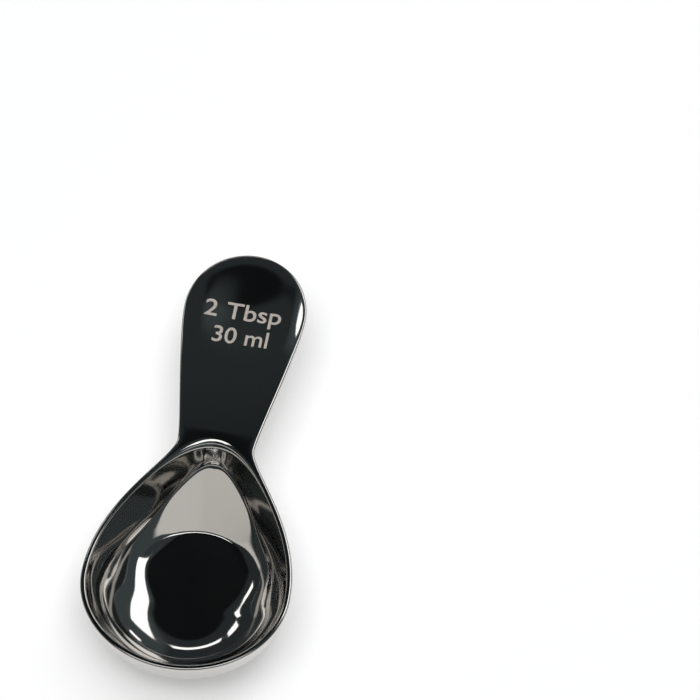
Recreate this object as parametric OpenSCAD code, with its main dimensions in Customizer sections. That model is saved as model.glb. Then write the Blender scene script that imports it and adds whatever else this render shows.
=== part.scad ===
// A coffee scoop pressed from one sheet of stainless steel.
// The handle's flat face runs on as the rim of a flat-floored, teardrop-shaped bowl.
// Frame: the underside of the bowl's floor lies on z = 0, +X points to the handle's tip.

/* [Bowl] */
// Width across the bowl's rim
bowl_w = 52.8; // [48:0.2:58]
// Length from the bowl's widest line to its nose
nose_l = 23.2; // [21:0.2:28]
// Depth from the rim down to the floor inside
bowl_depth = 17.1; // [15:0.1:19.5]
// Slope of the walls away from upright at the nose and the sides, in degrees
wall_draft = 7; // [4:0.5:12]
// Slope of the back wall away from upright, under the shoulder
back_draft = 25; // [22:0.5:32]
// Radius between the wall and the floor at the nose
nose_fillet = 14; // [9:0.25:17]
// Radius between the walls and the floor at the sides
floor_fillet = 16.5; // [10:0.25:17]
// Radius between the back wall and the floor, which lies under the ramp
back_fillet = 8; // [6:0.25:12]
// Distance from the bowl's widest line to the middle of the floor
floor_at = 6.5; // [5:0.25:8]
// Reach of the curve that leads the flank out of the widest line
flank_pull = 20.1; // [16:0.1:22]

/* [Ramp] */
// Slope of the ramp that rises from the floor to the back wall, in degrees
ramp_slope = 37; // [30:0.5:40]
// Distance from the middle of the floor to the round foot of the ramp
ramp_from = 16.2; // [14:0.1:18]
// Radius of the bend at the foot of the ramp
ramp_foot_r = 1.5; // [1:0.25:4]
// Size of the soft crease between the ramp and the walls
crease_soft = 1; // [0.6:0.1:2]

/* [Neck] */
// Distance from the bowl's widest line to the neck
neck_at = 39.7; // [38:0.1:42]
// Width of the neck
neck_w = 20; // [18:0.2:24]
// Reach of the flank's curve into the neck
neck_pull = 5.6; // [4:0.1:8]
// Flat left between the arch of the mouth and the handle's first cross line
arch_gap = 1.8; // [1.2:0.1:3]
// How blunt the arch of the mouth is
arch_blunt = 6.8; // [6:0.1:8]

/* [Handle] */
// Overall length of the scoop
scoop_l = 118.5; // [112:0.1:126]
// Width across the thumb end
thumb_w = 31.6; // [28:0.1:36]
// Length from the handle's widest line to its tip
thumb_l = 16.6; // [15:0.1:20]
// Reach of the handle's curve out of the neck
flare_pull = 4.8; // [3:0.1:7]
// Reach of the handle's curve into its widest line
thumb_pull = 10; // [7:0.1:13]
// Depth of the shallow thumb rest
rest_depth = 0.7; // [0.3:0.1:1]
// Radius of the thumb rest
rest_r = 14.5; // [11:0.25:15]

/* [Sheet] */
// Thickness of the steel
sheet_t = 1.6; // [1.2:0.1:1.8]
// Edge radius along the handle
handle_edge_r = 0.58; // [0.3:0.02:0.6]
// Edge radius along the bowl's rim
rim_edge_r = 0.6; // [0.3:0.05:0.7]
// Inner edge radius along the bowl's rim
lip_r = 0.5; // [0.3:0.05:0.9]
// Shoulder radius where the handle's face turns down into the bowl
shoulder_r = 3; // [2.4:0.1:4]
// Least radius of the bend under the flange
bend_r = 0.3; // [0.2:0.05:0.6]

/* [Hidden] */

// Counts of points: outline, edge and section
nose_n = 13;
flank_n = 9;
arch_n = 10;
neck_n = 3;
chord_n = 5;
side_n = 9;
tip_n = 9;
edge_n = 3;
shoulder_n = 3;
wall_n = 2;
fillet_n = 6;
floor_n = 4;

// Shares along the curves
flank_share = 0.5;
flank_draft_share = 0.4;
fillet_turn_share = 0.7;
junction_share = 0.17;
arch_neck_share = 0.56;
arch_junction_share = 0.66;
fillet_share = 0.9;
spine_power = 1.8;
fan_share = 0.2;
reach_share = 1.08;

half_bowl = bowl_w / 2;
half_neck = neck_w / 2;
half_thumb = thumb_w / 2;
thumb_at = scoop_l - nose_l - thumb_l;
rim_z = bowl_depth + sheet_t;

function curve(a, b, c, d, t) =
    pow(1 - t, 3) * a + 3 * t * pow(1 - t, 2) * b + 3 * t * t * (1 - t) * c + pow(t, 3) * d;
function unit(v) = v / norm(v);
function ease(t) = t <= 0 ? 0 : t >= 1 ? 1 : t * t * (3 - 2 * t);
function mix(a, b, t) = a * (1 - t) + b * t;
function flip(p) = [p[0], -p[1]];

// The outline, from the nose to the tip, in distances from the bowl's widest line
function flank(t) = curve([0, half_bowl], [flank_pull, half_bowl],
    [neck_at - neck_pull, half_neck], [neck_at, half_neck], t);
function side(t) = curve([neck_at, half_neck], [neck_at + flare_pull, half_neck],
    [thumb_at - thumb_pull, half_thumb], [thumb_at, half_thumb], t);
outline = concat(
    [for (i = [0:nose_n - 1]) let (a = 90 * i / nose_n) [-nose_l * cos(a), half_bowl * sin(a)]],
    [for (i = [0:flank_n - 1]) flank(flank_share * i / flank_n)],
    [for (i = [0:arch_n - 1]) flank(mix(flank_share, 1, i / arch_n))],
    [for (i = [0:neck_n - 1]) side(junction_share * i / neck_n)],
    [for (i = [0:side_n - 1]) side(mix(junction_share, 1, i / side_n))],
    [for (i = [0:tip_n]) let (a = 90 * i / tip_n) [thumb_at + thumb_l * sin(a), half_thumb * cos(a)]]);
last = len(outline) - 1;
function facing(i) = let (
    before = i == 0 ? flip(outline[1]) : outline[i - 1],
    after = i == last ? flip(outline[last - 1]) : outline[i + 1],
    along = unit(after - before)) [-along[1], along[0]];
outward = [for (i = [0:last]) facing(i)];

// The mouth's line, where the flat face starts to turn down, follows the rim and then arches across
arch_from = nose_n + flank_n;
neck_from = arch_from + arch_n;
junction = neck_from + neck_n;
arch_x = outline[junction][0] - arch_gap;
arch_start = outline[arch_from] - outward[arch_from] * lip_w(arch_from);
arch_reach = norm([arch_x, 0] - arch_start) * (1 - arch_neck_share);
arch_along = [outward[arch_from][1], -outward[arch_from][0]];
function arch(t) = curve(arch_start, arch_start + arch_along * arch_reach,
    [arch_x, arch_blunt], [arch_x, 0], t);
function arch_t(i) = i <= neck_from ? arch_neck_share * (i - arch_from) / arch_n
    : i <= junction ? mix(arch_neck_share, arch_junction_share, (i - neck_from) / neck_n)
    : mix(arch_junction_share, 1, (i - junction) / chord_n);
bowl_last = junction + chord_n;
function mouth(i) = i <= arch_from ? outline[i] - outward[i] * lip_w(i) : arch(arch_t(i));

// The walls stand steep round the nose and lean back more and more along the flanks, up to the back wall
function draft_share(i) = i <= nose_n ? 0
    : i <= arch_from ? flank_draft_share * pow((i - nose_n) / flank_n, spine_power)
    : mix(flank_draft_share, 1, arch_t(i));
function draft(i) = mix(wall_draft, back_draft, draft_share(i));
function turn(i) = 90 - draft(i);
function run(i) = tan(draft(i));
function cut(i) = sheet_t / cos(draft(i));
function wanted_fillet(i) = i < nose_n ? mix(nose_fillet, floor_fillet, ease(i / nose_n))
    : mix(floor_fillet, back_fillet, ease((i - nose_n) / (flank_n * fillet_turn_share)));
function fillet(i) = min(wanted_fillet(i), fillet_share * (bowl_depth / (1 - sin(draft(i))) - turn_r(i)));
function lip_w(i) = cut(i) + rim_edge_r * (1 - tan((90 + draft(i)) / 2)) - lip_r * tan(turn(i) / 2);

// The outer end of each ray of the bowl: on the outline, then on the line across the junction
junction_in = outline[junction] - outward[junction] * handle_edge_r;
spine_end = [junction_in[0], 0];
function crossing(i) = mix(junction_in, spine_end, (i - junction) / chord_n);
function ray_start(i) = i <= junction ? outline[i] : crossing(i);

// Each ray runs from the outline to the mouth and on to a point of the bowl's middle line
spine_from = floor_at * fan_share;
spine_to = arch_x - arch_blunt * (1 + flank_share);
function spine(i) = let (f = (mouth(i)[0] - spine_from) / (arch_x - spine_from))
    [mix(spine_from, spine_to, pow(max(0, f), spine_power)), 0];
function on_ray(i, d) = let (m = mouth(i), s = ray_start(i), w = norm(s - m), e = d + w)
    d >= 0 ? mix(m, spine(i), d / ray_l(i))
    : i > junction ? mix(s, m, e / w)
    : e <= handle_edge_r ? s - outward[i] * e
    : mix(s - outward[i] * handle_edge_r, m, (e - handle_edge_r) / (w - handle_edge_r));
function ray_l(i) = norm(spine(i) - mouth(i));
function flange_w(i) = norm(ray_start(i) - mouth(i));

// How far a ray is into the flange: 0 on the plain rim, 1 at the handle
function flange(i) = i <= arch_from ? 0 : ease(arch_t(i) / (1 - arch_neck_share));
function turn_r(i) = i <= arch_from ? lip_r : mix(lip_r, shoulder_r, ease(arch_t(i)));

// Section of the wall: distance in from the mouth's line and depth under the rim
function wall_at(i) = turn_r(i) * tan(turn(i) / 2);
function floor_from(i) = wall_at(i) + bowl_depth * run(i) + fillet(i) * tan(turn(i) / 2);
function squeeze(i) = min(1, ray_l(i) / (floor_from(i) * reach_share));
function inner_depth(i, d) = let (r = turn_r(i), f = floor_from(i), c = fillet(i))
    d <= 0 ? 0
    : d < r * sin(turn(i)) ? r - sqrt(r * r - d * d)
    : d < f - c * sin(turn(i)) ? (d - wall_at(i)) / run(i)
    : d < f ? bowl_depth - c + sqrt(c * c - pow(f - d, 2))
    : bowl_depth;
function outer_depth(i, d) = let (f = floor_from(i), c = fillet(i) + sheet_t)
    d < f - c * sin(turn(i)) ? (d - wall_at(i) + cut(i)) / run(i)
    : d < f ? bowl_depth - fillet(i) + sqrt(c * c - pow(f - d, 2))
    : rim_z;

// The ramp: height over the floor, round the middle of the floor, for the inside or the underside
function ramp_height(p, r) = let (e = norm(p - [floor_at, 0]) - ramp_from)
    p[0] < floor_at || e <= 0 ? 0
    : e < r * sin(ramp_slope) ? r - sqrt(r * r - e * e)
    : (e - r * tan(ramp_slope / 2)) * tan(ramp_slope);
function join(a, b) = let (k = crease_soft * (1 - exp(-(a + b) / (2 * crease_soft))))
    k <= 0 ? max(a, b) : max(a, b) + pow(max(0, k - abs(a - b)), 2) / (4 * k);

function raise(p, z) = [p[0] - floor_at, p[1], z];
function inside_at(i, d) = let (p = on_ray(i, d))
    raise(p, sheet_t + join(bowl_depth - inner_depth(i, d), ramp_height(p, ramp_foot_r)));
function under_at(i, d, depth) = let (p = on_ray(i, d))
    raise(p, join(rim_z - depth, d < 0 ? 0 : ramp_height(p, ramp_foot_r + sheet_t)));

// The inside of one ray, from the mouth's line to the middle line
function inside_steps(i) = let (q = squeeze(i), r = turn_r(i), f = floor_from(i), c = fillet(i)) concat(
    [for (k = [0:shoulder_n]) r * sin(turn(i) * k / shoulder_n)],
    [for (k = [1:wall_n]) mix(r * sin(turn(i)), q * (f - c * sin(turn(i))), k / wall_n)],
    [for (k = [1:fillet_n]) q * (f - c * sin(turn(i) * (1 - k / fillet_n)))],
    [for (k = [1:floor_n]) mix(q * f, ray_l(i), k / floor_n)]);
function inside_ray(i) = [for (d = inside_steps(i)) inside_at(i, d)];

// The underside of one ray: a bend under the flange, which on the plain rim is a straight start of the wall
function under_bend(i, k) = let (b = max(turn_r(i) - sheet_t, bend_r), a = turn(i) * k / shoulder_n,
    start = wall_at(i) - cut(i), z = sheet_t + b * (1 - cos(turn(i))) * k / shoulder_n,
    from = max(handle_edge_r - flange_w(i), start + sheet_t * run(i) - b * tan(turn(i) / 2)))
    mix([start + z * run(i), z], [from + b * sin(a), sheet_t + b * (1 - cos(a))], flange(i));
function under_steps(i) = let (q = squeeze(i), f = floor_from(i), c = fillet(i) + sheet_t,
    from = under_bend(i, shoulder_n)[0]) concat(
    [for (k = [1:wall_n]) mix(from, q * (f - c * sin(turn(i))), k / wall_n)],
    [for (k = [1:fillet_n]) q * (f - c * sin(turn(i) * (1 - k / fillet_n)))],
    [for (k = [1:floor_n]) mix(q * f, ray_l(i), k / floor_n)]);
function under_ray(i) = concat(
    [for (k = [0:shoulder_n]) let (b = under_bend(i, k)) under_at(i, b[0], b[1])],
    [for (d = under_steps(i)) under_at(i, d, outer_depth(i, d))]);

// The edge of the sheet, from the flat face round to the underside
edge_last = 2 * edge_n + 1;
function handle_edge(k) = let (a = 90 * (k % (edge_n + 1)) / edge_n, r = handle_edge_r)
    k <= edge_n ? [r - r * sin(a), r - r * cos(a)] : [r - r * cos(a), sheet_t - r + r * sin(a)];
function rim_edge(i, k) = let (full = 90 + draft(i), a = full * min(k / edge_n, 1), r = rim_edge_r,
    z = mix(r - r * cos(full), sheet_t, max(0, k - edge_n) / (edge_n + 1)))
    k <= edge_n ? [r - r * sin(a), r - r * cos(a)] : [flange_w(i) + wall_at(i) - cut(i) + z * run(i), z];
function edge_ray(i) = [for (k = [0:edge_last]) i >= junction
    ? let (e = handle_edge(k)) raise(outline[i] - outward[i] * e[0], rim_z - e[1])
    : let (e = mix(rim_edge(i, k), handle_edge(k), flange(i)))
        raise(on_ray(i, e[0] - flange_w(i)), rim_z - e[1])];

// The handle's rays run from the outline to its middle line
handle_last = last - junction;
function handle_spine(h) = [mix(spine_end[0], thumb_at, min(1, h / side_n)), 0];
function dip(p) = let (q = norm(p - [thumb_at, 0]) / rest_r) q >= 1 ? 0 : rest_depth * pow(1 - q * q, 2);
function handle_face(h, z) = [for (k = [0:chord_n]) let (i = junction + h,
    p = mix(outline[i] - outward[i] * handle_edge_r, handle_spine(h), k / chord_n)) raise(p, z - dip(p))];

// Half of the sheet as rows of points, which run out along the upper side, round the edge and back below
function turned(row) = [for (k = [1:len(row)]) row[len(row) - k]];
function cross_point(i, z) = raise(crossing(i), z);
bowl_rows = [for (i = [0:junction]) concat(turned(inside_ray(i)), edge_ray(i), under_ray(i))];
arch_rows = [for (i = [junction:bowl_last]) concat(turned(inside_ray(i)), [cross_point(i, rim_z)])];
below_rows = [for (i = [junction:bowl_last]) concat([cross_point(i, bowl_depth)], under_ray(i))];
handle_rows = [for (h = [0:handle_last]) concat(turned(handle_face(h, rim_z)),
    [for (k = [1:edge_last - 1]) edge_ray(junction + h)[k]], handle_face(h, bowl_depth))];

function joined(rows) = [for (row = rows) for (p = row) p];
function mirrored(points) = [for (p = points) [p[0], -p[1], p[2]]];
function patch(rows, from) = let (n = len(rows[0])) [for (i = [0:len(rows) - 2]) for (k = [0:n - 2])
    let (a = from + i * n + k, b = a + n,
        out_first = norm(rows[i][k] - rows[i + 1][k + 1]) < norm(rows[i][k + 1] - rows[i + 1][k]))
    for (f = out_first ? [[a, a + 1, b + 1], [a, b + 1, b]] : [[a, a + 1, b], [a + 1, b + 1, b]]) f];
function reversed(faces, shift) = [for (f = faces) [f[2] + shift, f[1] + shift, f[0] + shift]];

half_points = concat(joined(bowl_rows), joined(arch_rows), joined(below_rows), joined(handle_rows));
arch_first = len(joined(bowl_rows));
below_first = arch_first + len(joined(arch_rows));
handle_first = below_first + len(joined(below_rows));
half_faces = concat(patch(bowl_rows, 0), patch(arch_rows, arch_first), patch(below_rows, below_first),
    patch(handle_rows, handle_first));

module scoop() {
    color("silver")
        polyhedron(concat(half_points, mirrored(half_points)),
            concat(half_faces, reversed(half_faces, len(half_points))));
}

scoop();
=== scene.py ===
import math

import bmesh
import bpy
from mathutils import Matrix, Vector


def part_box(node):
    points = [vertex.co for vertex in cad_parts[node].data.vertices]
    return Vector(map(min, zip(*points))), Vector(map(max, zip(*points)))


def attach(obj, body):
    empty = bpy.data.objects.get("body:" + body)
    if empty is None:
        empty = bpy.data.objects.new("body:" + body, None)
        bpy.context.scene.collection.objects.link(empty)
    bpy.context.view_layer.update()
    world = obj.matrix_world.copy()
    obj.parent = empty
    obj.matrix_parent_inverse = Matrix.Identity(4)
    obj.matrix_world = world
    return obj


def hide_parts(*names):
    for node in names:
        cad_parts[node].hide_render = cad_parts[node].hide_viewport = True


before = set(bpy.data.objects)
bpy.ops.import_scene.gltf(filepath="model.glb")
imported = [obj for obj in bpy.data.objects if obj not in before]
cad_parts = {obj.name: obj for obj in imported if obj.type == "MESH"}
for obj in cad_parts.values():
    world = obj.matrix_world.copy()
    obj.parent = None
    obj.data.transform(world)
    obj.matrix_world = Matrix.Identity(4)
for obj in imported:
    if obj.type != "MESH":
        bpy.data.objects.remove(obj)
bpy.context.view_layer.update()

# The scoop is one blank of stainless steel sheet. A press draws the flat-floored bowl and its ramp
# and leaves the handle flat. Its edge is then rounded, and the whole piece is polished.
MM = 0.001
low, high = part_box("scoop")
scoop_l = (high.x - low.x) / MM
half_bowl = (high.y - low.y) / MM / 2
rim_z = high.z / MM
nose_l = 23.2
floor_at = -low.x / MM - nose_l
flank_pull = 20.1
neck_at = 39.7
half_neck = 10
neck_pull = 5.6
thumb_l = 16.6
thumb_at = scoop_l - nose_l - thumb_l
half_thumb = 15.8
flare_pull = 4.8
thumb_pull = 10
sheet_t = 1.6
bowl_depth = rim_z - sheet_t

wall_draft = math.radians(7)
back_draft = math.radians(25)
floor_fillet = 16.5
back_fillet = 8
nose_fillet = 14
lip_r = 0.5
rim_edge_r = 0.6
handle_edge_r = 0.58
shoulder_r = 3
bend_r = 0.3

ramp_slope = math.radians(37)
ramp_from = 16.2
ramp_foot_r = 0.5
crease_soft = 1
arch_gap = 1.8
arch_blunt = 6.8
flank_share = 0.5
flank_draft_share = 0.4
fillet_turn_share = 0.7
junction_share = 0.17
arch_neck_share = 0.56
arch_junction_share = 0.66
spine_power = 1.8
fan_share = 0.2
reach_share = 1.08

nose_n = 56
flank_n = 36
arch_n = 44
neck_n = 12
chord_n = 24
side_n = 44
tip_n = 56
edge_n = 6
shoulder_n = 9
wall_n = 24
fillet_n = 28
floor_n = 24


def mix(start, end, share):
    return start + (end - start) * share


def ease(share):
    share = min(max(share, 0), 1)
    return share * share * (3 - 2 * share)


def draft_share(i):
    """How far the wall leans back: 0 round the nose, 1 at the middle of the back wall."""
    if i <= nose_n:
        return 0
    if i <= arch_from:
        return flank_draft_share * ((i - nose_n) / flank_n) ** spine_power
    return mix(flank_draft_share, 1, arch_share(i))


def curve(points, share):
    """A point of a cubic curve, and the way the curve runs there."""
    start, start_pull, end_pull, end = points
    left = 1 - share
    spot = start * left ** 3 + start_pull * 3 * share * left ** 2
    spot = spot + end_pull * 3 * share * share * left + end * share ** 3
    along = (start_pull - start) * left ** 2 + (end_pull - start_pull) * 2 * share * left
    return spot, along + (end - end_pull) * share * share


def quarter(centre_x, length, width, angle, way):
    """A point of a quarter ellipse at an end of the outline, and the way it runs there."""
    spot = Vector((centre_x + way * length * math.cos(angle), width * math.sin(angle)))
    along = Vector((way * -length * math.sin(angle), width * math.cos(angle))) * -way
    return spot, along


flank = [Vector((0, half_bowl)), Vector((flank_pull, half_bowl)),
         Vector((neck_at - neck_pull, half_neck)), Vector((neck_at, half_neck))]
side = [Vector((neck_at, half_neck)), Vector((neck_at + flare_pull, half_neck)),
        Vector((thumb_at - thumb_pull, half_thumb)), Vector((thumb_at, half_thumb))]
outline = [quarter(0, nose_l, half_bowl, math.pi / 2 * i / nose_n, -1) for i in range(nose_n)]
outline += [curve(flank, flank_share * i / flank_n) for i in range(flank_n)]
outline += [curve(flank, mix(flank_share, 1, i / arch_n)) for i in range(arch_n)]
outline += [curve(side, junction_share * i / neck_n) for i in range(neck_n)]
outline += [curve(side, mix(junction_share, 1, i / side_n)) for i in range(side_n)]
outline += [quarter(thumb_at, thumb_l, half_thumb, math.pi / 2 * (1 - i / tip_n), 1)
            for i in range(tip_n + 1)]
outward = [Vector((-along.y, along.x)).normalized() for spot, along in outline]
outline = [spot for spot, along in outline]
arch_from = nose_n + flank_n
neck_from = arch_from + arch_n
junction = neck_from + neck_n
bowl_last = junction + chord_n
last = len(outline) - 1


def lip_width(draft):
    """Flat and rounded width of the plain rim, from the outline to the mouth's edge."""
    corner = rim_edge_r * (1 - math.tan((math.pi / 2 + draft) / 2))
    return sheet_t / math.cos(draft) + corner - lip_r * math.tan((math.pi / 2 - draft) / 2)


arch_x = outline[junction].x - arch_gap
arch_draft = mix(wall_draft, back_draft, flank_draft_share)
arch_start = outline[arch_from] - outward[arch_from] * lip_width(arch_draft)
arch_reach = (Vector((arch_x, 0)) - arch_start).length * (1 - arch_neck_share)
arch_along = Vector((outward[arch_from].y, -outward[arch_from].x))
arch = [arch_start, arch_start + arch_along * arch_reach,
        Vector((arch_x, arch_blunt)), Vector((arch_x, 0))]
junction_in = outline[junction] - outward[junction] * handle_edge_r
spine_end = Vector((junction_in.x, 0))
spine_from = floor_at * fan_share
spine_to = arch_x - arch_blunt * (1 + flank_share)


def arch_share(i):
    """Where a line of the bowl meets the arch of the shoulder: 1 at its middle."""
    if i <= neck_from:
        return arch_neck_share * (i - arch_from) / arch_n
    if i <= junction:
        return mix(arch_neck_share, arch_junction_share, (i - neck_from) / neck_n)
    return mix(arch_junction_share, 1, (i - junction) / chord_n)


def raised(spot, z):
    """A point of the outline's plane, put at a height over the table, in metres."""
    return Vector((spot.x - floor_at, spot.y, z)) * MM


def ramp_height(spot, radius):
    """Height of the ramp over the floor. It rises all round an arc-shaped foot."""
    out = (spot - Vector((floor_at, 0))).length - ramp_from
    if spot.x < floor_at or out <= 0:
        return 0
    if out < radius * math.sin(ramp_slope):
        return radius - math.sqrt(radius * radius - out * out)
    return (out - radius * math.tan(ramp_slope / 2)) * math.tan(ramp_slope)


def join(wall, ramp):
    """The higher of two heights, with a soft crease where they meet."""
    soft = crease_soft * (1 - math.exp(-(wall + ramp) / (2 * crease_soft)))
    if soft <= 0:
        return max(wall, ramp)
    return max(wall, ramp) + max(0, soft - abs(wall - ramp)) ** 2 / (4 * soft)


class Ray:
    """One line of the bowl, from the outline over the mouth's edge to the middle of the floor."""

    def __init__(self, i):
        self.draft = mix(wall_draft, back_draft, draft_share(i))
        self.turn = math.pi / 2 - self.draft
        self.run = math.tan(self.draft)
        self.cut = sheet_t / math.cos(self.draft)
        self.fillet = mix(floor_fillet, back_fillet, ease((i - nose_n) / (flank_n * fillet_turn_share)))
        if i < nose_n:
            self.fillet = mix(nose_fillet, floor_fillet, ease(i / nose_n))
        self.on_rim = i <= junction
        self.start = outline[i] if self.on_rim else mix(junction_in, spine_end, (i - junction) / chord_n)
        self.out = outward[i]
        plain = i <= arch_from
        plain_mouth = outline[i] - self.out * lip_width(self.draft)
        self.mouth = plain_mouth if plain else curve(arch, arch_share(i))[0]
        self.flange = 0 if plain else ease(arch_share(i) / (1 - arch_neck_share))
        self.turn_r = lip_r if plain else mix(lip_r, shoulder_r, ease(arch_share(i)))
        share = max(0, (self.mouth.x - spine_from) / (arch_x - spine_from))
        self.spine = Vector((mix(spine_from, spine_to, share ** spine_power), 0))
        self.length = (self.spine - self.mouth).length
        self.flange_w = (self.start - self.mouth).length
        self.wall_at = self.turn_r * math.tan(self.turn / 2)
        self.floor_from = self.wall_at + bowl_depth * self.run + self.fillet * math.tan(self.turn / 2)
        self.squeeze = min(1, self.length / (self.floor_from * reach_share))

    def spot(self, inward):
        """The point at a distance in from the mouth's edge. Under 0 it lies on the flange."""
        if inward >= 0:
            return mix(self.mouth, self.spine, inward / self.length)
        from_start = inward + self.flange_w
        if not self.on_rim:
            return mix(self.start, self.mouth, from_start / self.flange_w)
        if from_start <= handle_edge_r:
            return self.start - self.out * from_start
        flat_from = self.start - self.out * handle_edge_r
        return mix(flat_from, self.mouth, (from_start - handle_edge_r) / (self.flange_w - handle_edge_r))

    def depth(self, inward):
        """Depth of the bowl's inside under the rim."""
        if inward <= 0:
            return 0
        if inward < self.turn_r * math.sin(self.turn):
            return self.turn_r - math.sqrt(self.turn_r * self.turn_r - inward * inward)
        if inward < self.floor_from - self.fillet * math.sin(self.turn):
            return (inward - self.wall_at) / self.run
        if inward < self.floor_from:
            to_floor = self.floor_from - inward
            return bowl_depth - self.fillet + math.sqrt(self.fillet * self.fillet - to_floor ** 2)
        return bowl_depth

    def outer_depth(self, inward):
        """Depth of the bowl's outside under the rim."""
        outer_fillet = self.fillet + sheet_t
        if inward < self.floor_from - outer_fillet * math.sin(self.turn):
            return (inward - self.wall_at + self.cut) / self.run
        if inward < self.floor_from:
            to_floor = self.floor_from - inward
            return bowl_depth - self.fillet + math.sqrt(outer_fillet * outer_fillet - to_floor ** 2)
        return rim_z

    def steps(self, first, fillet):
        """Distances along the wall, the fillet and the floor."""
        wall_end = self.squeeze * (self.floor_from - fillet * math.sin(self.turn))
        walls = [mix(first, wall_end, k / wall_n) for k in range(1, wall_n + 1)]
        turns = [fillet * math.sin(self.turn * (1 - k / fillet_n)) for k in range(1, fillet_n + 1)]
        fillets = [self.squeeze * (self.floor_from - turn) for turn in turns]
        floor_start = self.squeeze * self.floor_from
        floors = [mix(floor_start, self.length, k / floor_n) for k in range(1, floor_n + 1)]
        return walls + fillets + floors

    def inside(self):
        """The line's points from the mouth's edge down the inside."""
        turns = [self.turn_r * math.sin(self.turn * k / shoulder_n) for k in range(shoulder_n + 1)]
        points = []
        for inward in turns + self.steps(turns[-1], self.fillet):
            spot = self.spot(inward)
            over_floor = join(bowl_depth - self.depth(inward), ramp_height(spot, ramp_foot_r))
            points.append(raised(spot, sheet_t + over_floor))
        return points

    def under(self):
        """The line's points from the edge of the sheet down the outside."""
        bend = max(self.turn_r - sheet_t, bend_r)
        start = self.wall_at - self.cut
        bend_at = start + sheet_t * self.run - bend * math.tan(self.turn / 2)
        first = max(handle_edge_r - self.flange_w, bend_at)
        pairs = []
        for k in range(shoulder_n + 1):
            angle = self.turn * k / shoulder_n
            z = sheet_t + bend * (1 - math.cos(self.turn)) * k / shoulder_n
            bent = Vector((first + bend * math.sin(angle), sheet_t + bend * (1 - math.cos(angle))))
            pairs.append(mix(Vector((start + z * self.run, z)), bent, self.flange))
        below = self.steps(pairs[-1].x, self.fillet + sheet_t)
        pairs += [Vector((inward, self.outer_depth(inward))) for inward in below]
        points = []
        for inward, depth in pairs:
            spot = self.spot(inward)
            rise = 0 if inward < 0 else ramp_height(spot, ramp_foot_r + sheet_t)
            points.append(raised(spot, join(rim_z - depth, rise)))
        return points


def edge(i, ray):
    """The rounded edge of the sheet, from the flat face round to the underside."""
    points = []
    for k in range(2 * edge_n + 2):
        angle = math.pi / 2 * (k % (edge_n + 1)) / edge_n
        radius = handle_edge_r
        round_edge = Vector((radius - radius * math.sin(angle), radius - radius * math.cos(angle)))
        if k > edge_n:
            lower = sheet_t - radius + radius * math.sin(angle)
            round_edge = Vector((radius - radius * math.cos(angle), lower))
        if not ray:
            rolled = roll(i, 0) * (1 - k / (2 * edge_n + 1))
            points.append(raised(outline[i] - outward[i] * round_edge.x, rim_z - round_edge.y - rolled))
            continue
        radius = rim_edge_r
        full = math.pi / 2 + ray.draft
        angle = full * min(k / edge_n, 1)
        z = mix(radius - radius * math.cos(full), sheet_t, max(0, k - edge_n) / (edge_n + 1))
        thin_edge = Vector((radius - radius * math.sin(angle), radius - radius * math.cos(angle)))
        if k > edge_n:
            thin_edge = Vector((ray.flange_w + ray.wall_at - ray.cut + z * ray.run, z))
        spot = mix(thin_edge, round_edge, ray.flange)
        points.append(raised(ray.spot(spot.x - ray.flange_w), rim_z - spot.y))
    return points


rest_depth = 0.7
rest_r = 14.5
roll_drop = 0.48
roll_w = 5
roll_from_share = 0.55
roll_to_share = 0.5


def dip(spot):
    """Depth of the shallow thumb rest."""
    out = (spot - Vector((thumb_at, 0))).length / rest_r
    return 0 if out >= 1 else rest_depth * (1 - out * out) ** 2


def roll(i, inward):
    """How far polishing has rounded the face down towards the edge of the thumb's end."""
    grown = ease(((i - junction) / side_n - roll_from_share) / (1 - roll_from_share))
    faded = ease((i - junction - side_n) / tip_n / roll_to_share)
    return roll_drop * (grown - faded) * max(0, 1 - max(0, inward - handle_edge_r) / roll_w) ** 2


def handle_face(i, z, rolled):
    """A line over one face of the handle, from its edge to its middle."""
    middle = Vector((mix(spine_end.x, thumb_at, min(1, (i - junction) / side_n)), 0))
    edge_in = outline[i] - outward[i] * handle_edge_r
    points = []
    for k in range(chord_n + 1):
        spot = mix(edge_in, middle, k / chord_n)
        inward = (spot - edge_in).length + handle_edge_r
        points.append(raised(spot, z - dip(spot) - (roll(i, inward) if rolled else 0)))
    return points


def lay(steel, rows):
    """A flat grid in the blank, moved point by point onto the pressed shape."""
    rays_n = len(rows) - 1
    steps_n = len(rows[0]) - 1
    for vert in bmesh.ops.create_grid(steel, x_segments=rays_n, y_segments=steps_n, size=1)["verts"]:
        i = round((vert.co.x + 1) / 2 * rays_n)
        k = round((vert.co.y + 1) / 2 * steps_n)
        vert.co = rows[i][k]


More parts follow.
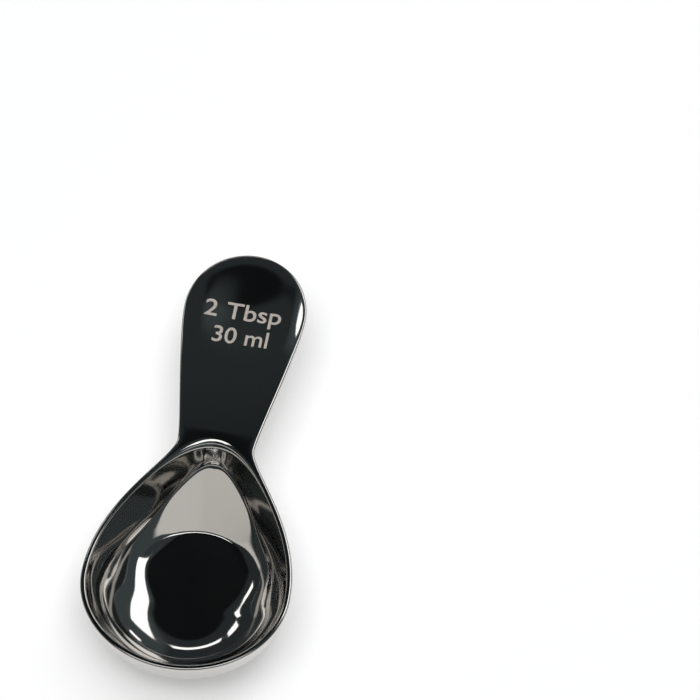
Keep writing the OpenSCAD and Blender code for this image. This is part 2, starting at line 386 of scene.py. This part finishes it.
def press_scoop():
    """Half of the scoop, laid down in four parts, welded and mirrored."""
    rays = [Ray(i) for i in range(bowl_last + 1)]
    steel = bmesh.new()
    lay(steel, [ray.inside()[::-1] + edge(i, ray) + ray.under()
                for i, ray in enumerate(rays[:junction + 1])])
    crossing = rays[junction:]
    flats = [raised(mix(junction_in, spine_end, k / chord_n), rim_z) for k in range(chord_n + 1)]
    lay(steel, [ray.inside()[::-1] + [flat] for ray, flat in zip(crossing, flats)])
    belows = [raised(mix(junction_in, spine_end, k / chord_n), bowl_depth) for k in range(chord_n + 1)]
    lay(steel, [[below] + ray.under() for ray, below in zip(crossing, belows)])
    lay(steel, [handle_face(i, rim_z, True)[::-1] + edge(i, None)[1:-1]
                + handle_face(i, bowl_depth, False) for i in range(junction, last + 1)])
    weld = 0.0005 * MM
    bmesh.ops.remove_doubles(steel, verts=steel.verts, dist=weld)
    everything = steel.verts[:] + steel.edges[:] + steel.faces[:]
    bmesh.ops.mirror(steel, geom=everything, axis="Y", merge_dist=weld)
    bmesh.ops.remove_doubles(steel, verts=steel.verts, dist=weld)
    bmesh.ops.dissolve_degenerate(steel, edges=steel.edges, dist=weld)
    bmesh.ops.recalc_face_normals(steel, faces=steel.faces)
    for face in steel.faces:
        face.smooth = True
    mesh = bpy.data.meshes.new("pressed_scoop")
    steel.to_mesh(mesh)
    steel.free()
    piece = bpy.data.objects.new("pressed_scoop", mesh)
    bpy.context.collection.objects.link(piece)
    return piece


def polished_steel():
    steel = bpy.data.materials.new("polished_steel")
    steel.use_nodes = True
    nodes = steel.node_tree.nodes
    links = steel.node_tree.links
    shader = nodes["Principled BSDF"]
    shader.inputs["Base Color"].default_value = (0.6, 0.585, 0.565, 1)
    shader.inputs["Metallic"].default_value = 1
    place = nodes.new("ShaderNodeTexCoord")
    haze = nodes.new("ShaderNodeTexNoise")
    haze.inputs["Scale"].default_value = 60
    haze.inputs["Detail"].default_value = 6
    links.new(place.outputs["Object"], haze.inputs["Vector"])
    dull = nodes.new("ShaderNodeMapRange")
    dull.inputs["To Min"].default_value = 0.04
    dull.inputs["To Max"].default_value = 0.1
    links.new(haze.outputs["Fac"], dull.inputs["Value"])
    links.new(dull.outputs["Result"], shader.inputs["Roughness"])
    lengthways = nodes.new("ShaderNodeMapping")
    lengthways.inputs["Scale"].default_value = (150, 4000, 4000)
    links.new(place.outputs["Object"], lengthways.inputs["Vector"])
    scratches = nodes.new("ShaderNodeTexNoise")
    scratches.inputs["Scale"].default_value = 1
    scratches.inputs["Detail"].default_value = 3
    links.new(lengthways.outputs["Vector"], scratches.inputs["Vector"])
    marks = nodes.new("ShaderNodeBump")
    marks.inputs["Strength"].default_value = 0.03
    marks.inputs["Distance"].default_value = 0.00005
    links.new(scratches.outputs["Fac"], marks.inputs["Height"])
    links.new(marks.outputs["Normal"], shader.inputs["Normal"])
    return steel


scoop = press_scoop()
scoop.data.materials.append(polished_steel())
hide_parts("scoop")
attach(scoop, "root")

# The capacity mark is a plain measure in two lines, etched into the polished face of the handle.
# Etching leaves thin matt grey figures, which follow the hollow of the thumb rest.
mark_proud = 0.02
mark_sunk = 0.05
letter_h = 4.7
bold = 0.008
letter_weld = 0.0001
cut_step = 0.97
cut_weld = 0.00001


def mark_line(words, baseline_x, start_y, width):
    """Flat letters with a little thickness, read across the handle from its left edge."""
    letters = bpy.data.curves.new("capacity_letters", "FONT")
    letters.body = words
    letters.offset = bold
    letters.extrude = 1
    text = bpy.data.objects.new("capacity_letters", letters)
    mark = bmesh.new()
    mark.from_mesh(text.to_mesh())
    text.to_mesh_clear()
    bpy.data.objects.remove(text)
    bmesh.ops.remove_doubles(mark, verts=mark.verts, dist=letter_weld)
    left = min(vert.co.x for vert in mark.verts)
    wide = max(vert.co.x for vert in mark.verts) - left
    tall = max(vert.co.y for vert in mark.verts)
    for vert in mark.verts:
        across = (vert.co.x - left) / wide * width
        up = vert.co.y / tall * letter_h
        level = mark_proud if vert.co.z > 0 else -mark_sunk
        vert.co = Vector((baseline_x + up, start_y - across, level))
    return mark


def bent_to_rest(mark):
    """Cuts the flat letters into short facets and lays them into the thumb rest."""
    for axis in (0, 1):
        way = Vector((1 - axis, axis, 0))
        first = min(vert.co[axis] for vert in mark.verts)
        end = max(vert.co[axis] for vert in mark.verts)
        for k in range(1, math.ceil((end - first) / cut_step)):
            parts = mark.verts[:] + mark.edges[:] + mark.faces[:]
            cut_at = way * (first + k * cut_step)
            bmesh.ops.bisect_plane(mark, geom=parts, plane_co=cut_at, plane_no=way, dist=cut_weld)
    for vert in mark.verts:
        spot = Vector((vert.co.x, vert.co.y))
        vert.co = raised(spot, rim_z - dip(spot) + vert.co.z)


def etched_grey():
    etch = bpy.data.materials.new("etched_grey")
    etch.use_nodes = True
    nodes = etch.node_tree.nodes
    links = etch.node_tree.links
    shader = nodes["Principled BSDF"]
    shader.inputs["Roughness"].default_value = 0.7
    shader.inputs["Specular IOR Level"].default_value = 0.2
    place = nodes.new("ShaderNodeTexCoord")
    grain = nodes.new("ShaderNodeTexNoise")
    grain.inputs["Scale"].default_value = 2500
    links.new(place.outputs["Object"], grain.inputs["Vector"])
    tone = nodes.new("ShaderNodeValToRGB")
    tone.color_ramp.elements[0].position = 0.3
    tone.color_ramp.elements[0].color = (0.38, 0.34, 0.31, 1)
    tone.color_ramp.elements[1].position = 0.7
    tone.color_ramp.elements[1].color = (0.54, 0.49, 0.44, 1)
    links.new(grain.outputs["Fac"], tone.inputs["Fac"])
    links.new(tone.outputs["Color"], shader.inputs["Base Color"])
    return etch


spoons_at = thumb_at - 2.5
spoons_left = 10.3
spoons_w = 19.9
ml_at = thumb_at - 9.8
ml_left = 6.9
ml_w = 14.3
lines = {"capacity_mark_spoons": ("2 Tbsp", spoons_at, spoons_left, spoons_w),
         "capacity_mark_ml": ("30 ml", ml_at, ml_left, ml_w)}
etched = etched_grey()
for name, (words, baseline_x, start_y, width) in lines.items():
    mark = mark_line(words, baseline_x, start_y, width)
    bent_to_rest(mark)
    bmesh.ops.recalc_face_normals(mark, faces=mark.faces)
    mesh = bpy.data.meshes.new(name)
    mark.to_mesh(mesh)
    mark.free()
    piece = bpy.data.objects.new(name, mesh)
    bpy.context.collection.objects.link(piece)
    mesh.materials.append(etched)
    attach(piece, "root")

# The table is a plain pale sheet that the scoop lies on, under the soft light of a studio.
# Its own glow stands for the light that a white sweep sends to the lens and to the steel.
table_size = 6
table_light = 0.28


def pale_table():
    paint = bpy.data.materials.new("pale_table")
    paint.use_nodes = True
    nodes = paint.node_tree.nodes
    links = paint.node_tree.links
    shader = nodes["Principled BSDF"]
    shader.inputs["Base Color"].default_value = (0.8, 0.8, 0.8, 1)
    shader.inputs["Roughness"].default_value = 0.9
    shader.inputs["Specular IOR Level"].default_value = 0
    rays = nodes.new("ShaderNodeLightPath")
    mirrored = nodes.new("ShaderNodeMath")
    mirrored.operation = "MAXIMUM"
    links.new(rays.outputs["Is Glossy Ray"], mirrored.inputs[0])
    links.new(rays.outputs["Is Transmission Ray"], mirrored.inputs[1])
    seen = nodes.new("ShaderNodeMath")
    seen.operation = "MAXIMUM"
    links.new(rays.outputs["Is Camera Ray"], seen.inputs[0])
    links.new(mirrored.outputs[0], seen.inputs[1])
    glow = nodes.new("ShaderNodeMath")
    glow.operation = "MULTIPLY"
    glow.inputs[1].default_value = table_light
    links.new(seen.outputs[0], glow.inputs[0])
    shader.inputs["Emission Color"].default_value = (1, 1, 1, 1)
    links.new(glow.outputs[0], shader.inputs["Emission Strength"])
    return paint


top = bmesh.new()
bmesh.ops.create_grid(top, x_segments=1, y_segments=1, size=table_size / 2)
table_mesh = bpy.data.meshes.new("table")
top.to_mesh(table_mesh)
top.free()
table = bpy.data.objects.new("table", table_mesh)
bpy.context.collection.objects.link(table)
table.data.materials.append(pale_table())

# The studio's lamps are softboxes round and over the table. Steel is a mirror, so the places
# between them are what makes its dark faces.
target = Vector((12, 0, 15)) * MM


def softbox(name, way, width, height, level, flat, mirrored=True):
    """A soft lamp, hung level or turned to the scoop. At level 1 its face is as bright as white."""
    light = bpy.data.lights.new(name, "AREA")
    light.shape = "RECTANGLE"
    light.size = width
    light.size_y = height
    light.energy = level * width * height * math.pi
    lamp = bpy.data.objects.new(name, light)
    bpy.context.collection.objects.link(lamp)
    lamp.location = target + way
    if not flat:
        lamp.rotation_euler = way.to_track_quat("Z", "Y").to_euler()
    lamp.visible_camera = False
    lamp.visible_glossy = mirrored


softbox("right_softbox", Vector((0.83, -0.53, 1.2)), width=0.9, height=0.79, level=1.75, flat=True)
softbox("top_softbox", Vector((-0.25, 0, 1.2)), width=0.38, height=1, level=1.8, flat=True)
# The fill lights the table and the mark to a plain level. The steel doesn't mirror it.
softbox("fill", Vector((0, 0, 1.3)), width=1.2, height=1.2, level=2.7, flat=True, mirrored=False)
softbox("left_strip", Vector((0.8, 0.27, 0.85)), width=0.4, height=0.1, level=2, flat=False)
softbox("far_strip", Vector((0.6, 0.61, 0.83)), width=0.2, height=0.16, level=2, flat=False)
softbox("low_strip", Vector((1.03, -0.42, 0.45)), width=0.22, height=0.08, level=2, flat=False)

# The room round the studio is dark, but for a pale glow at the horizon and a soft band of light
# that wraps round behind the camera and makes the ramp's even grey. A faint blue light from one
# side and from far off tints the handle.
glow_fade = (0.25, 0.1)
glow_level = 0.75
band_lean = (0.28, 0.07, 1)
band_foot = (0.43, 0.445)
band_top = (0.54, 0.52)
band_front = (0.12, -0.02)
band_end = (-0.71, -0.65)
band_level = 0.7
side_way = (0, -1, 0.1)
side_fade = (0.01, 0.09)
side_level = 0.04
far_fade = (0.896, 0.882)
far_level = 0.027
room_level = 0.008
world = bpy.data.worlds.new("studio")
bpy.context.scene.world = world
world.use_nodes = True
sky = world.node_tree.nodes
wires = world.node_tree.links
backdrop = sky["Background"]
backdrop.inputs["Color"].default_value = (1, 0.97, 0.92, 1)
way_up = sky.new("ShaderNodeTexCoord")


def along(direction):
    """How far the view's direction runs along another one."""
    dot = sky.new("ShaderNodeVectorMath")
    dot.operation = "DOT_PRODUCT"
    dot.inputs[1].default_value = direction
    wires.new(way_up.outputs["Generated"], dot.inputs[0])
    return dot.outputs["Value"]


def rise(value, start, end):
    """A level that goes from 0 to 1 between two values."""
    level = sky.new("ShaderNodeMapRange")
    level.inputs["From Min"].default_value = start
    level.inputs["From Max"].default_value = end
    wires.new(value, level.inputs["Value"])
    return level.outputs["Result"]


def combined(operation, first, second):
    """The sum or the product of a level and another level or a number."""
    level = sky.new("ShaderNodeMath")
    level.operation = operation
    wires.new(first, level.inputs[0])
    if isinstance(second, (int, float)):
        level.inputs[1].default_value = second
    else:
        wires.new(second, level.inputs[1])
    return level.outputs[0]


up = along((0, 0, 1))
band_up = along(band_lean)
band = combined("MULTIPLY", rise(band_up, *band_foot), rise(band_up, *band_top))
band = combined("MULTIPLY", band, rise(along((1, 0, 0)), *band_front))
band = combined("MULTIPLY", band, rise(along((0, 1, 0)), *band_end))
glow = combined("MULTIPLY", rise(up, *glow_fade), glow_level)
levels = combined("ADD", glow, combined("MULTIPLY", band, band_level))
wires.new(levels, backdrop.inputs["Strength"])
blue = sky.new("ShaderNodeBackground")
blue.inputs["Color"].default_value = (0.75, 0.93, 1, 1)
side_light = combined("MULTIPLY", rise(along(side_way), *side_fade), side_level)
far_light = combined("MULTIPLY", rise(up, *far_fade), far_level)
blue_light = combined("ADD", combined("ADD", side_light, far_light), room_level)
wires.new(blue_light, blue.inputs["Strength"])
both = sky.new("ShaderNodeAddShader")
wires.new(backdrop.outputs["Background"], both.inputs[0])
wires.new(blue.outputs["Background"], both.inputs[1])
wires.new(both.outputs["Shader"], sky["World Output"].inputs["Surface"])

# The camera looks down into the bowl from beyond its nose, with the handle leaning away and up.
# It stands over a metre off with a long lens, and points past the scoop, which is low and left.
camera_tilt = math.radians(28)
camera_swing = math.radians(5.5)
camera_roll = math.radians(-8.6)
camera_distance = 1125
focal_length = 231.43
focus_x = 12
focus_y = -0.03
left_of_middle = 37.5
below_middle = 42.5
clip_end = 20
focus_at = Vector((focus_x, focus_y, rim_z - sheet_t / 2))
focus_off = Vector((-left_of_middle, -below_middle, -camera_distance))
view_turn = (Matrix.Rotation(camera_roll, 3, "Z") @ Matrix.Rotation(-camera_swing, 3, "Y")
             @ Matrix.Rotation(-camera_tilt, 3, "X") @ Matrix.Rotation(math.pi / 2, 3, "Z"))
lens = bpy.data.cameras.new("camera")
lens.lens = focal_length
lens.clip_end = clip_end
camera = bpy.data.objects.new("camera", lens)
bpy.context.collection.objects.link(camera)
camera.rotation_euler = view_turn.transposed().to_euler()
camera.location = (focus_at - view_turn.transposed() @ focus_off) * MM
bpy.context.scene.camera = camera
bpy.context.scene.view_settings.view_transform = "Standard"
